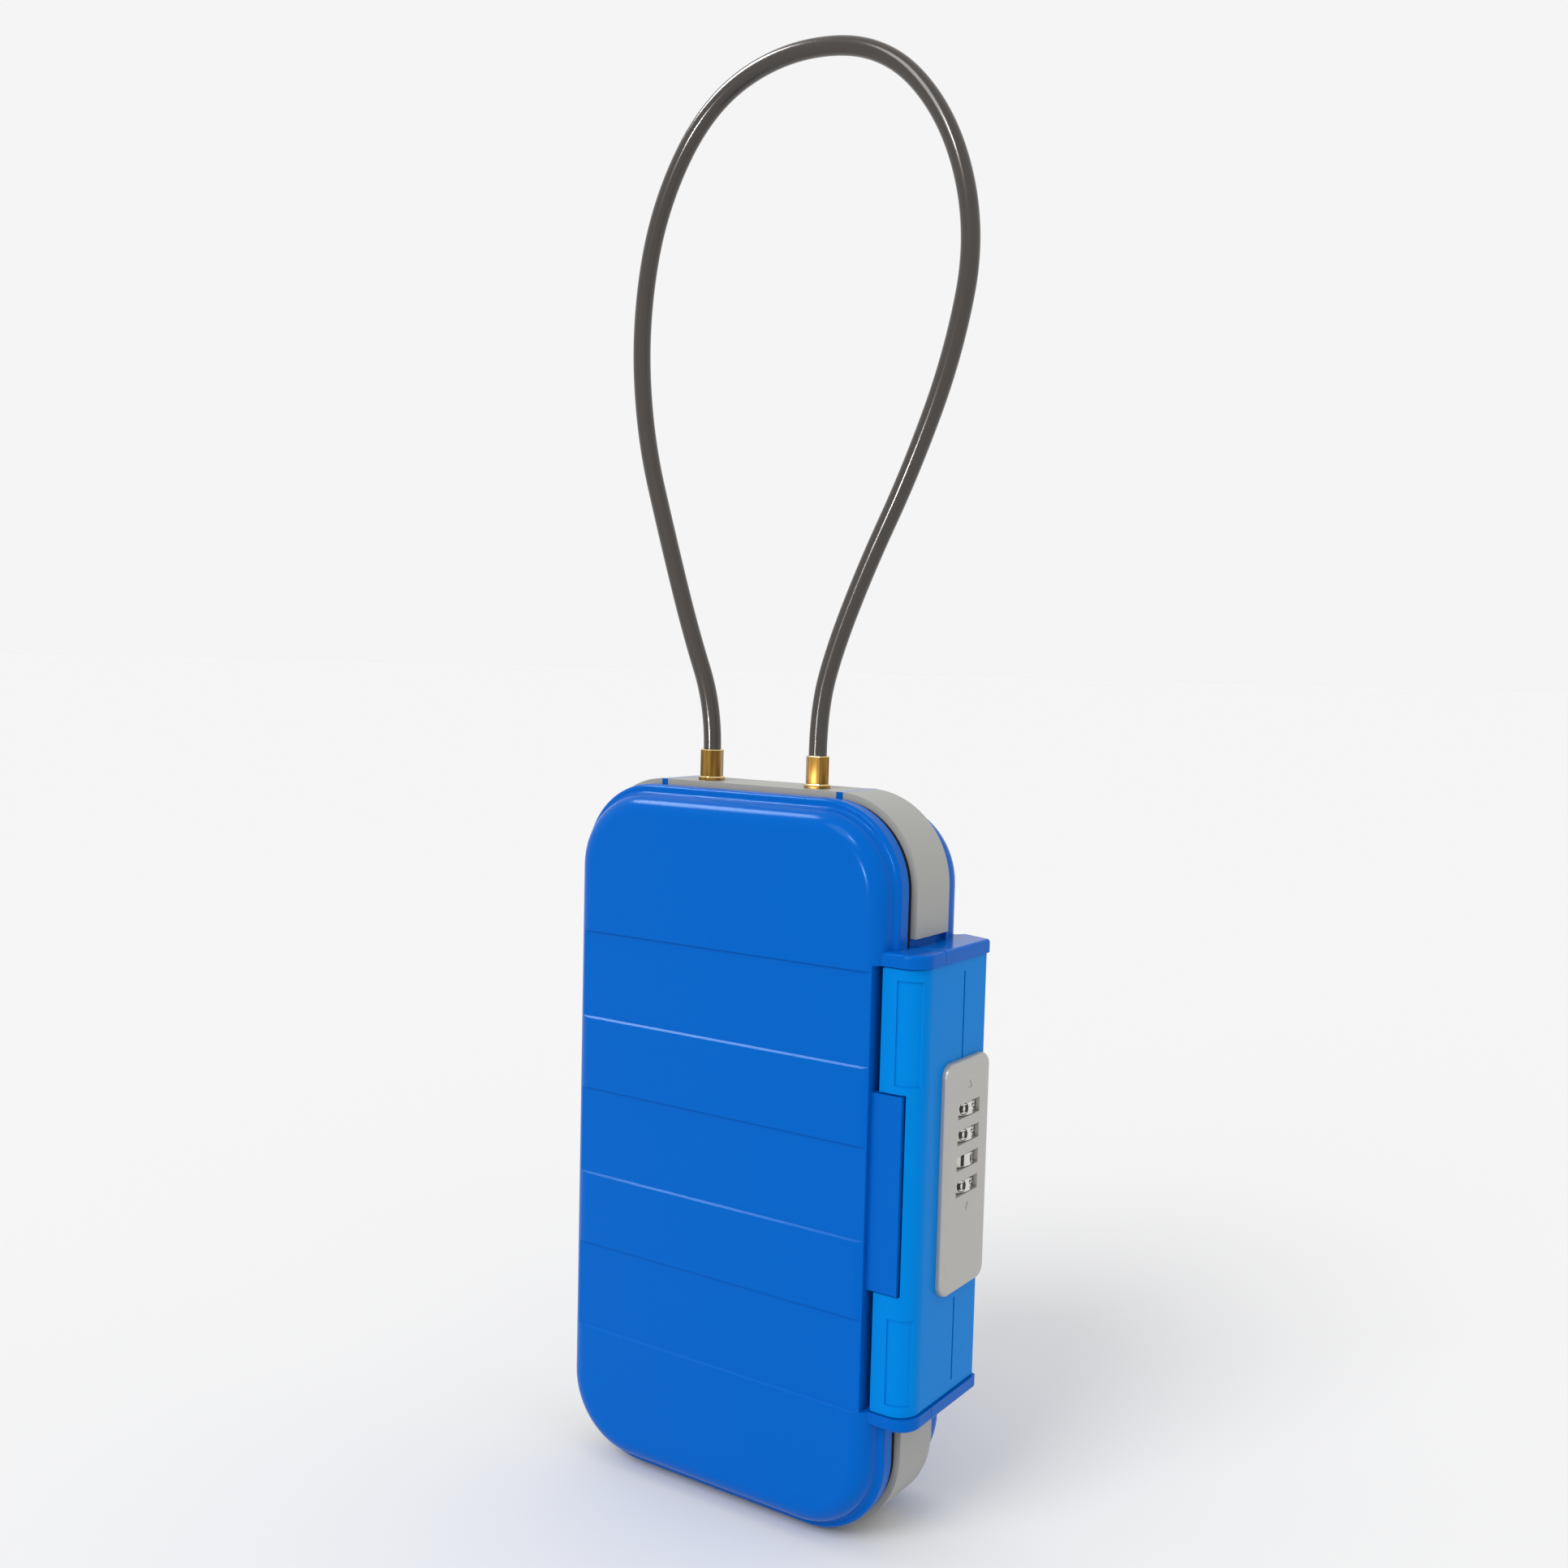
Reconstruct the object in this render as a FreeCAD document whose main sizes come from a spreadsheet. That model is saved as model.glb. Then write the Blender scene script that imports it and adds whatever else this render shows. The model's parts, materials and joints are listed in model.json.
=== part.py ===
import FreeCAD, Part
import math
import os
import re

import Sketcher

# A portable cable lock box: two moulded half shells hinged on the left, a hinged latch on the right
# that carries a four-dial lock, and a steel cable loop that leaves the top through two brass
# ferrules. Millimetres. The origin is on the bottom face at the plane where the two shells part:
# X to the right, Y to the back, Z up. The lid faces -Y.

SIZES = [
    # The rear shell and its grey bumper strips.
    ("case_height", 200.0, "bottom to top over the bumper strips"),
    ("case_half_width", 53.9, "centre to the face of a bumper strip"),
    ("corner", 24.6, "outer corner radius of the case"),
    ("strip_thick", 2.0, "thickness of a bumper strip"),
    ("strip_front", -0.3, "front edge of the strips"),
    ("strip_back", 16.8, "back edge of the strips"),
    ("tab_half_width", 1.0, "half the width of a tab between two strips"),
    ("rim_inset", 0.6, "how far the rear lip stands inside the strips"),
    ("lip_back", 18.6, "back of the thin lip behind the strips"),
    ("crown_side", 50.8, "half width of the raised crown"),
    ("crown_ends", 4.0, "height of the crown's ends inside the case's ends"),
    ("crown_edge", 5.4, "rounding of the crown's edge"),
    ("back_face", 30.0, "back face of the rear shell"),
    ("wall", 2.4, "moulded wall"),
    # The lid.
    ("lid_inset", 1.35, "how far the lid's rim stands inside the strips"),
    ("lid_face", -13.1, "front face of the lid"),
    ("lid_ledge", -7.2, "front of the lid's rim, where the crown rises"),
    ("lid_rear", -2.6, "rear edge of the lid's rim"),
    ("rim_edge", 1.2, "rounding of the rim's front edge"),
    ("ledge_fillet", 1.2, "hollow fillet between the rim and the crown"),
    ("band_depth", 0.5, "depth of the recessed bands"),
    ("band_height", 24.7, "height of a recessed band"),
    ("band_pitch", 45.55, "distance between two bands"),
    ("band_first", 40.1, "bottom of the lowest band"),
    ("band_reach", 5.0, "how far a band's cutter stands out, and how far its ledge slopes"),
    # The pocket on the right and its two flanges.
    ("pocket_low", 40.1, "bottom of the latch pocket"),
    ("pocket_high", 157.5, "top of the latch pocket"),
    ("flange_thick", 3.6, "thickness of a flange"),
    ("flange_side", 61.9, "outer side of the flanges"),
    ("flange_front", -10.8, "front of the flanges and of the tongue"),
    ("flange_back", 26.5, "rear corner of the flanges"),
    ("flange_corner", 6.0, "front corner radius of the flanges and the latch"),
    ("flange_edge", 1.2, "radius of a flange's rear corner"),
    ("flange_seam", 1.4, "where the two halves of a flange meet, beside the latch"),
    ("seam_step", 52.7, "where the seam of a flange steps forward to the front of the strips"),
    ("seam_gap", 0.15, "gap between the two halves of a flange"),
    ("lid_pocket", 48.0, "side of the lid in the pocket"),
    ("body_pocket", 47.3, "side of the rear shell in the pocket"),
    # The tongue on the lid, with the lug that the bolt enters.
    ("tongue_low", 72.5, "bottom of the tongue"),
    ("tongue_high", 124.5, "top of the tongue"),
    ("tongue_tip", 57.0, "free edge of the tongue"),
    ("tongue_thick", 2.6, "thickness of the tongue"),
    ("lug_low", 80.0, "bottom of the lug"),
    ("lug_high", 117.0, "top of the lug"),
    ("lug_deep", 7.4, "how far the lug reaches behind the flanges' front"),
    ("bolt_deep", 5.0, "the bolt's tip, behind the flanges' front"),
    ("bolt_tip_radius", 1.35, "radius of the bolt's tip"),
    # The latch.
    ("latch_low", 40.4, "bottom of the latch"),
    ("latch_high", 157.2, "top of the latch"),
    ("latch_lip", 50.0, "inner side of the latch"),
    ("latch_side", 61.2, "outer side of the latch"),
    ("latch_front", -10.3, "front of the latch"),
    ("latch_back", 26.4, "back of the latch"),
    ("latch_edge", 1.0, "radius of the latch's rear corner"),
    ("latch_wall", 2.0, "wall of the latch"),
    ("latch_pin_x", 58.2, "latch pin, across"),
    ("latch_pin_y", 24.2, "latch pin, front to back"),
    ("latch_pin_radius", 1.2, "radius of the latch pin"),
    ("channel_depth", 0.4, "depth of the shallow channels and grooves in the latch"),
    ("groove_front", 13.0, "front edge of the grooves on the latch's side"),
    ("groove_width", 0.7, "width of a groove"),
    ("plate_screw_radius", 1.0, "radius of the screws in the lock's back plate"),
    ("rivet_radius", 1.2, "radius of the screws that hold the escutcheon"),
    ("reset_height", 87.0, "height of the reset pin"),
    ("reset_radius", 1.0, "radius of the reset pin"),
    # The combination lock.
    ("dial_x", 56.1, "dial axis, across"),
    ("dial_y", 15.3, "dial axis, front to back"),
    ("dial_pitch", 6.96, "distance between two dials"),
    ("dial_top", 117.56, "middle of the top dial"),
    ("dial_radius", 7.4, "radius of the numbered ring"),
    ("ring_height", 3.6, "height of the numbered ring"),
    ("hub_radius", 4.2, "radius of a dial's hub"),
    ("hub_height", 6.6, "height of a dial's hub"),
    ("clutch_radius", 3.0, "radius of a clutch sleeve"),
    ("bolt_radius", 1.5, "radius of the bolt's spindle"),
    ("arm_thick", 2.7, "thickness of the lock frame's arms"),
    ("spring_wire", 0.3, "radius of the bolt spring's wire"),
    ("spring_pitch", 2.6, "pitch of the bolt spring"),
    ("plate_face", 63.4, "outer face of the escutcheon"),
    ("plate_low", 68.7, "bottom of the escutcheon"),
    ("plate_high", 130.9, "top of the escutcheon"),
    ("plate_front", 2.5, "front edge of the escutcheon"),
    ("plate_back", 26.0, "back edge of the escutcheon"),
    ("plate_corner", 3.6, "corner radius of the escutcheon"),
    ("plate_edge", 1.4, "rounding of the escutcheon's edge"),
    ("window_middle", 14.1, "middle of the dial windows, front to back"),
    ("window_height", 3.9, "height of a dial window"),
    ("mark_depth", 0.15, "depth of the two triangles above and below the windows"),
    ("window_half_width", 6.0, "half the width of a dial window"),
    # The hinge on the left.
    ("hinge_x", -57.2, "hinge axis, across"),
    ("hinge_y", 3.0, "hinge axis, front to back"),
    ("knuckle_radius", 3.0, "radius of a hinge knuckle"),
    ("knuckle_pitch", 20.0, "distance between two knuckles"),
    ("knuckle_gap", 0.3, "gap between two knuckles"),
    ("hinge_low", 48.0, "bottom of the hinge"),
    ("hinge_pin_radius", 1.2, "radius of the hinge pin"),
    ("running_gap", 0.05, "running clearance round a pin"),
    # The cable and what holds it.
    ("cable_x", 17.8, "each cable end, from the centre"),
    ("cable_y", 6.4, "plane of the cable"),
    ("cable_radius", 2.5, "radius of the sheathed cable"),
    ("ferrule_flats", 5.8, "across the flats of a ferrule"),
    ("ferrule_height", 8.8, "height of a ferrule above the case"),
    ("ferrule_shank", 3.1, "radius of a ferrule's shank"),
    ("nut_flats", 9.0, "across the flats of a ferrule's nut"),
    ("retainer_low", 186.5, "underside of the cable retainer"),
    ("retainer_thick", 2.0, "thickness of the cable retainer"),
    ("neck_radius", 1.3, "radius of the groove in the cable's removable end"),
    ("retainer_screw_radius", 1.15, "radius of the screws of the retainer's bracket"),
]


doc = FreeCAD.newDocument("cable_lock_box")
sheet = doc.addObject("Spreadsheet::Sheet", "sizes")
for row, (alias, size, meaning) in enumerate(SIZES, 1):
    sheet.set("A%d" % row, alias)
    sheet.set("B%d" % row, str(size))
    sheet.setAlias("B%d" % row, alias)
    sheet.set("C%d" % row, meaning)
doc.recompute()

ALIASES = re.compile(r"\b(%s)\b" % "|".join(alias for alias, size, meaning in SIZES))


def bound(text):
    """An expression in which every word of the sheet points at its cell."""
    return ALIASES.sub(r"sizes.\1", str(text))


# ---------------------------------------------------------------------------
# Helpers: primitives, booleans and sketched plates, all bound to the sheet.

def place(item, x, y, z):
    """Bind the place of an object to the sheet."""
    for letter, text in (("x", x), ("y", y), ("z", z)):
        item.setExpression("Placement.Base." + letter, bound(text))


def box(name, x, y, z):
    """A box from three pairs of limits."""
    item = doc.addObject("Part::Box", name)
    for side, (low, high) in (("Length", x), ("Width", y), ("Height", z)):
        item.setExpression(side, bound("(%s) - (%s)" % (high, low)))
    place(item, x[0], y[0], z[0])
    return item


TURNS = {
    "z": FreeCAD.Rotation(),
    "x": FreeCAD.Rotation(FreeCAD.Vector(0, 1, 0), 90),
}


def rod(name, x, y, z, radius, length, along="z"):
    """A cylinder that starts at a point and runs along one axis."""
    item = doc.addObject("Part::Cylinder", name)
    item.Placement = FreeCAD.Placement(FreeCAD.Vector(), TURNS[along])
    item.setExpression("Radius", bound(radius))
    item.setExpression("Height", bound(length))
    place(item, x, y, z)
    return item


def hexagon(name, x, y, z, flats, length, sides=6, along="z"):
    """A prism with flat sides; flats is the distance across two of them."""
    item = doc.addObject("Part::Prism", name)
    item.Polygon = sides
    item.Placement = FreeCAD.Placement(FreeCAD.Vector(), TURNS[along])
    item.setExpression("Circumradius", bound("(%s) / 2 / cos(180 deg / %d)" % (flats, sides)))
    item.setExpression("Height", bound(length))
    place(item, x, y, z)
    return item


def fuse(name, *pieces):
    """All the pieces as one solid."""
    item = doc.addObject("Part::MultiFuse", name)
    item.Shapes = list(pieces)
    item.Refine = True
    return item


def cut(name, base, *tools):
    """The base without the tools."""
    tool = tools[0] if len(tools) == 1 else fuse(name + "_tools", *tools)
    item = doc.addObject("Part::Cut", name)
    item.Base = base
    item.Tool = tool
    item.Refine = True
    return item


def common(name, first, second):
    """What two pieces share."""
    item = doc.addObject("Part::Common", name)
    item.Base = first
    item.Tool = second
    return item


def edges_where(shape, test):
    """The names of the edges that pass a test."""
    return ["Edge%d" % number for number, edge in enumerate(shape.Edges, 1) if test(edge)]


def along_axis(axis, near=None, reach=0.6):
    """A test for straight edges along an axis; near picks those that pass close to a point."""
    def test(edge):
        low = edge.BoundBox
        spans = {"x": low.XLength, "y": low.YLength, "z": low.ZLength}
        straight = all(span < 1e-4 for key, span in spans.items() if key != axis)
        if not straight or near is None:
            return straight
        middle = low.Center
        away = {"x": abs(middle.x - near[0]), "y": abs(middle.y - near[1]), "z": abs(middle.z - near[2])}
        return all(gap < reach for key, gap in away.items() if key != axis)
    return test


def in_plane(axis, value):
    """A test for edges that lie in a plane across an axis."""
    def test(edge):
        low = edge.BoundBox
        limits = {"x": (low.XMin, low.XMax), "y": (low.YMin, low.YMax), "z": (low.ZMin, low.ZMax)}
        return all(abs(limit - value) < 1e-3 for limit in limits[axis])
    return test


PLANES = {"y": ("XZ_Plane", -1), "z": ("XY_Plane", 1), "x": ("YZ_Plane", 1)}


def plate(name, axis, low, high, corners, rounded=(), edge=None):
    """A sketched plate across an axis, from low to high.

    corners are pairs of expressions. rounded is a list of (radius, test): the edges that pass the
    test get that radius. edge is one more such pair, for the rim of one face.
    """
    plane_name, sense = PLANES[axis]
    start = low if sense > 0 else "-(%s)" % high
    body = doc.addObject("PartDesign::Body", name)
    plane = [item for item in body.Origin.OriginFeatures if item.Role == plane_name][0]
    sketch = body.newObject("Sketcher::SketchObject", name + "_outline")
    sketch.AttachmentSupport = [(plane, "")]
    sketch.MapMode = "FlatFace"
    sketch.setExpression("AttachmentOffset.Base.z", bound(start))
    count = len(corners)
    ring = [FreeCAD.Vector(math.cos(2 * math.pi * i / count), math.sin(2 * math.pi * i / count), 0)
            for i in range(count)]
    for i in range(count):
        sketch.addGeometry(Part.LineSegment(ring[i] * 20, ring[(i + 1) % count] * 20), False)
    for i in range(count):
        sketch.addConstraint(Sketcher.Constraint("Coincident", i, 2, (i + 1) % count, 1))
    for i, corner in enumerate(corners):
        for kind, text in zip(("DistanceX", "DistanceY"), corner):
            number = sketch.addConstraint(Sketcher.Constraint(kind, -1, 1, i, 1, 1.0))
            sketch.setExpression("Constraints[%d]" % number, bound(text))
    pad = body.newObject("PartDesign::Pad", name + "_pad")
    pad.Profile = sketch
    pad.setExpression("Length", bound("(%s) - (%s)" % (high, low)))
    doc.recompute()
    last = pad
    rounds = list(rounded) + ([edge] if edge else [])
    for number, (radius, test) in enumerate(rounds):
        fillet = body.newObject("PartDesign::Fillet", "%s_round_%d" % (name, number))
        fillet.Base = (last, edges_where(last.Shape, test))
        fillet.setExpression("Radius", bound(radius))
        doc.recompute()
        last = fillet
    return body


def size_of(alias):
    """A number from the sheet."""
    return float(sheet.get(alias))


def slab(name, half_width, low, high, front, back, corner, edge=None):
    """An upright slab with rounded corners; edge is the rounding of one face's rim and its Y."""
    corners = [("-(%s)" % half_width, low), (half_width, low), (half_width, high),
               ("-(%s)" % half_width, high)]
    rim = (edge[0], in_plane("y", edge[1])) if edge else None
    return plate(name, "y", front, back, corners, [(corner, along_axis("y"))], rim)


NODES = []


def node(item, name):
    """Name a finished piece; the name is its file's name too."""
    item.Label = name
    NODES.append(item)
    return item


# ---------------------------------------------------------------------------
# What both shells share.

def case_slab(name, inset, front, back, edge=None):
    """A slab of the case's outline, set in by one distance all round."""
    return slab(name, "case_half_width - (%s)" % inset, inset, "case_height - (%s)" % inset, front, back,
                "corner - (%s)" % inset, edge)


def crown_slab(name, front, back, edge):
    """The raised crown of a shell."""
    return slab(name, "crown_side", "crown_ends", "case_height - crown_ends", front, back,
                "corner - case_half_width + crown_side", edge)


def hollow(name, front, back):
    """The space inside a shell, narrower beside the latch pocket."""
    space = slab(name + "_space", "crown_side - wall", "crown_ends + wall", "case_height - crown_ends - wall",
                 front, back, "corner - case_half_width + crown_side - wall")
    across = "body_pocket - wall + 0.1", "crown_side"
    deep = "(%s) - 1" % front, "(%s) + 1" % back
    beside = box(name + "_beside", across, deep, ("pocket_low - wall", "pocket_high + wall"))
    return cut(name, space, beside)


def bands(name, floor, away):
    """Three shallow bands across the whole face; each has a sloping ledge below and a square one above."""
    outer = "%s + (%s)" % (floor, away)
    cutters = []
    for number in range(3):
        low = "band_first + %d * band_pitch" % number
        high = low + " + band_height"
        outline = [(floor, low), (floor, high), (outer, high), (outer, low + " - band_reach")]
        cutters.append(plate("%s_%d" % (name, number), "x", "-case_half_width", "case_half_width", outline))
    return cutters


def pocket(name, side):
    """The space beside a shell where the latch goes."""
    deep = "lid_face - 5", "back_face + 5"
    return box(name, (side, "case_half_width + 2"), deep, ("pocket_low", "pocket_high"))


# The undersides of the two flanges, and which way each one's outer face looks.
FLANGES = {"low": ("pocket_low - flange_thick", -1), "high": ("pocket_high", 1)}


def flange(shell, end, corners, corner, radius):
    """Half of a flange above or below the latch, with one rounded corner and a soft outer rim."""
    low, sense = FLANGES[end]
    pocket_end = size_of("pocket_low") if sense < 0 else size_of("pocket_high")
    outside = pocket_end + sense * size_of("flange_thick")
    at = (size_of(corner[0]), size_of(corner[1]), 0)
    rounds = [(radius, along_axis("z", at)), ("0.9", in_plane("z", outside))]
    return plate("%s_flange_%s" % (shell, end), "z", low, "(%s) + flange_thick" % low, corners, rounds)


def lid_flange(end):
    """The front half, which moves with the lid."""
    corners = [("body_pocket", "flange_front"), ("flange_side", "flange_front"), ("flange_side", "flange_seam"),
               ("seam_step", "flange_seam"), ("seam_step", "strip_front - seam_gap"),
               ("body_pocket", "strip_front - seam_gap")]
    return flange("lid", end, corners, ("flange_side", "flange_front"), "flange_corner")


def rear_flange(end):
    """The rear half, which belongs to the rear shell."""
    corners = [("body_pocket - wall", "strip_front"), ("seam_step - seam_gap", "strip_front"),
               ("seam_step - seam_gap", "flange_seam + seam_gap"), ("flange_side", "flange_seam + seam_gap"),
               ("flange_side", "flange_back"), ("crown_side + 2", "flange_back + 3"),
               ("crown_side", "back_face - 3"), ("body_pocket - wall", "back_face - 3")]
    return flange("rear", end, corners, ("flange_side", "flange_back"), "flange_edge")


# ---------------------------------------------------------------------------
# Hinge on the left: five knuckles on one pin, three on the rear shell and two on the lid.

def knuckle(name, number, arm):
    """One knuckle with the arm that joins it to its shell."""
    low = "hinge_low + %d * knuckle_pitch + knuckle_gap" % number
    length = "knuckle_pitch - 2 * knuckle_gap"
    barrel = rod(name + "_barrel", "hinge_x", "hinge_y", low, "knuckle_radius", length)
    link = plate(name + "_arm", "z", low, "%s + %s" % (low, length), arm)
    return fuse(name, barrel, link)


BODY_ARM = [("hinge_x", "hinge_y"), ("hinge_x + knuckle_radius", "0.4"), ("-case_half_width + 1", "0.4"),
            ("-case_half_width + 1", "hinge_y + knuckle_radius"), ("hinge_x", "hinge_y + knuckle_radius")]
LID_ARM = [("hinge_x - knuckle_radius + 0.1", "hinge_y - 0.6"), ("hinge_x - 1.6", "0.2"),
           ("-case_half_width + 2", "lid_ledge + 0.6"), ("-case_half_width + 2", "lid_rear"),
           ("-case_half_width - 0.35", "lid_rear"), ("-case_half_width - 0.35", "hinge_y - 1")]


def hinge_bore(name):
    """The bore through every knuckle."""
    return rod(name, "hinge_x", "hinge_y", "hinge_low - 5", "hinge_pin_radius + running_gap",
               "5 * knuckle_pitch + 10")


# The two screws of the cable retainer's bracket, across.
RETAINER_SCREWS = ("-6", "8.5")


# ---------------------------------------------------------------------------
# Rear shell: core under the strips, tabs between them, lip and crown.

def rear_shell():
    core = case_slab("rear_core", "strip_thick", "strip_front", "lip_back - 0.4")
    lip = case_slab("rear_lip", "rim_inset", "strip_back", "lip_back", ("0.7", size_of("lip_back")))
    crown = crown_slab("rear_crown", "lip_back - 1", "back_face", ("crown_edge", size_of("back_face")))
    solids = [core, lip, crown, rear_flange("low"), rear_flange("high")]
    for side in (-1, 1):
        middle = "%d * (case_half_width - corner)" % side
        across = middle + " - tab_half_width", middle + " + tab_half_width"
        for name, low, high in (("top", "case_height - 3", "case_height"), ("bottom", "0", "3")):
            tab = box("rear_tab_%s_%d" % (name, side), across, ("strip_front", "strip_back + 0.5"), (low, high))
            solids.append(tab)
    leaf = box("rear_hinge_leaf", ("-case_half_width", "-case_half_width + 4"), ("0", "strip_back"),
               ("hinge_low - 0.5", "hinge_low + 5 * knuckle_pitch + 0.5"))
    solids.append(leaf)
    for number in (0, 2, 4):
        solids.append(knuckle("rear_knuckle_%d" % number, number, BODY_ARM))
    side_post = box("rear_side_post", ("body_pocket - wall", "body_pocket"), ("0", "back_face - 2"),
                    ("pocket_low - 1", "pocket_high + 1"))
    outer = fuse("rear_outer", *solids)
    pocket_outline = [("body_pocket", "-1"), ("case_half_width + 2", "-1"),
                      ("case_half_width + 2", "back_face + 1"), ("body_pocket", "back_face + 1")]
    tools = [hollow("rear_hollow", "-1", "back_face - wall"), hinge_bore("rear_hinge_bore")]
    tools.append(plate("rear_pocket", "z", "pocket_low", "pocket_high", pocket_outline))
    tools += bands("rear_band", "back_face - band_depth", "band_reach")
    for name, low, reach in (("low", "pocket_low - flange_thick - 1", "flange_thick + 2"),
                             ("high", "pocket_high - 1", "flange_thick - 0.1")):
        tools.append(rod("rear_pin_" + name, "latch_pin_x", "latch_pin_y", low, "latch_pin_radius + running_gap",
                         reach))
    for side in (-1, 1):
        tools.append(rod("rear_ferrule_hole_%d" % side, "%d * cable_x" % side, "cable_y", "case_height - 10",
                         "ferrule_shank + running_gap", "12"))
    for number, across in enumerate(RETAINER_SCREWS):
        tools.append(rod("rear_screw_hole_%d" % number, across, "cable_y", "case_height - 8",
                         "retainer_screw_radius + running_gap", "5"))
    shell = cut("rear_cut", outer, *tools)
    node(fuse("rear_whole", shell, side_post), "rear_shell")


# ---------------------------------------------------------------------------
# Bumper strips: one ring, cut at the tabs, the flanges and the hinge.

def bumper_strips():
    clear = "0.05"
    tab = "case_half_width - corner"
    far = "case_half_width + 5"
    middle = "(-(%s) + tab_half_width + %s)" % (tab, clear), "(%s - tab_half_width - %s)" % (tab, clear)
    left = "-(%s)" % far, "(-(%s) - tab_half_width - %s)" % (tab, clear)
    right = "(%s + tab_half_width + %s)" % (tab, clear), far
    hinge_high = "hinge_low + 5 * knuckle_pitch + 1"
    strips = [
        ("bumper_top", middle, ("case_height - 10", "case_height + 5")),
        ("bumper_bottom", middle, ("-5", "10")),
        ("bumper_top_right", right, ("pocket_high + flange_thick + 2.3", "case_height + 5")),
        ("bumper_bottom_right", right, ("-5", "pocket_low - flange_thick - 0.1")),
        ("bumper_top_left", left, (hinge_high, "case_height + 5")),
        ("bumper_bottom_left", left, ("-5", "hinge_low - 1")),
    ]
    for name, x, z in strips:
        outside = case_slab(name + "_outside", "0", "strip_front", "strip_back - 0.05")
        inside = case_slab(name + "_inside", "strip_thick", "strip_front - 1", "strip_back + 1")
        ring = cut(name + "_ring", outside, inside)
        piece = common(name + "_piece", ring, box(name + "_span", x, ("strip_front - 1", "strip_back + 1"), z))
        if name == "bumper_top":
            holes = [rod("%s_hole_%d" % (name, side), "%d * cable_x" % side, "cable_y", "case_height - 5",
                         "ferrule_shank + running_gap", "10") for side in (-1, 1)]
            piece = cut(name + "_holed", piece, *holes)
        node(piece, name)


# ---------------------------------------------------------------------------
# Seal between the shells.

def seal():
    def loop(name, inset, grow):
        body = case_slab(name + "_slab", inset, "lid_rear + 0.15", "strip_front")
        low = "pocket_low - flange_thick - 0.5 - " + grow
        high = "pocket_high + flange_thick + 0.5 + " + grow
        side = box(name + "_side", ("body_pocket - 0.4 - " + grow, "case_half_width + 2"), ("lid_rear - 2", "2"),
                   (low, high))
        return cut(name, body, side)
    outside = loop("seal_outside", "strip_thick - 0.1", "0")
    inside = loop("seal_inside", "strip_thick + 1.6", "2.2")
    node(cut("seal_ring_cut", outside, inside), "seal_ring")


# ---------------------------------------------------------------------------
# Lid: rim, crown, recessed bands, front halves of the flanges, tongue and lug.

def lid_shell():
    rim = case_slab("lid_rim", "lid_inset", "lid_ledge", "lid_rear", ("rim_edge", size_of("lid_ledge")))
    crown = crown_slab("lid_crown", "lid_face", "lid_ledge + 1", ("crown_edge", size_of("lid_face")))
    solid = fuse("lid_shell_solid", rim, crown)
    doc.recompute()
    foot = doc.addObject("Part::Fillet", "lid_ledge_fillet")
    foot.Base = solid
    radius = size_of("ledge_fillet")
    foot.Edges = [(number, radius, radius) for number, edge in enumerate(solid.Shape.Edges, 1)
                  if at_crown_foot(edge)]
    doc.recompute()
    tools = [hollow("lid_hollow", "lid_face + wall + 0.1", "lid_rear + 1")]
    tools += bands("lid_band", "lid_face + band_depth", "-band_reach")
    tools.append(pocket("lid_pocket_space", "lid_pocket"))
    shell = cut("lid_hollowed", foot, *tools)
    tongue = box("lid_tongue", ("body_pocket - wall", "tongue_tip"),
                 ("flange_front", "flange_front + tongue_thick"), ("tongue_low", "tongue_high"))
    lug = box("lid_lug", ("latch_lip", "latch_lip + 6"),
              ("flange_front + tongue_thick - 0.2", "flange_front + lug_deep"), ("lug_low", "lug_high"))
    solids = [shell, tongue, lug, lid_flange("low"), lid_flange("high")]
    for number in (1, 3):
        solids.append(knuckle("lid_knuckle_%d" % number, number, LID_ARM))
    whole = fuse("lid_whole", *solids)
    strike = rod("lid_strike_hole", "latch_lip + 3", "flange_front + bolt_deep", "lug_low - 1",
                 "bolt_tip_radius + 0.3", "7")
    node(cut("lid_final", whole, strike, hinge_bore("lid_hinge_bore")), "lid_shell")


def at_crown_foot(edge):
    """Whether an edge is the crown's foot on the ledge, and not the rim's rounding."""
    if not in_plane("y", size_of("lid_ledge"))(edge):
        return False
    middle = size_of("case_height") / 2
    reach = max(abs(vertex.Point.x) for vertex in edge.Vertexes)
    rise = max(abs(vertex.Point.z - middle) for vertex in edge.Vertexes)
    return reach < size_of("crown_side") + 0.01 and rise < middle - size_of("crown_ends") + 0.01


def hinge_pin():
    foot_height = "0.8"
    low = "hinge_low + knuckle_gap"
    high = "hinge_low + 5 * knuckle_pitch - knuckle_gap"
    shaft = rod("hinge_pin_shaft", "hinge_x", "hinge_y", low, "hinge_pin_radius", "(%s) - (%s)" % (high, low))
    foot = rod("hinge_pin_foot", "hinge_x", "hinge_y", "%s - %s" % (low, foot_height), "hinge_pin_radius + 0.8",
               foot_height)
    head = rod("hinge_pin_head", "hinge_x", "hinge_y", high, "hinge_pin_radius + 0.8", foot_height)
    node(fuse("hinge_pin_whole", shaft, foot, head), "hinge_pin")


# ---------------------------------------------------------------------------
# Latch: a hollow block on a pin at its rear, with a notch for the lid's tongue.

# The lower and upper ends of the shallow channels and grooves.
CHANNELS = (("43.2", "66"), ("127", "154.2"))
# The screws of the lock's back plate and of the escutcheon: Y and Z.
PLATE_SCREWS = (("1.8", "64"), ("18", "64"), ("1.8", "131"), ("18", "131"))
RIVETS = (("20", "84"), ("6", "127.5"))


def dial_height(number):
    """The middle of a dial, counted from the top."""
    return "dial_top - %d * dial_pitch" % number


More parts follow.
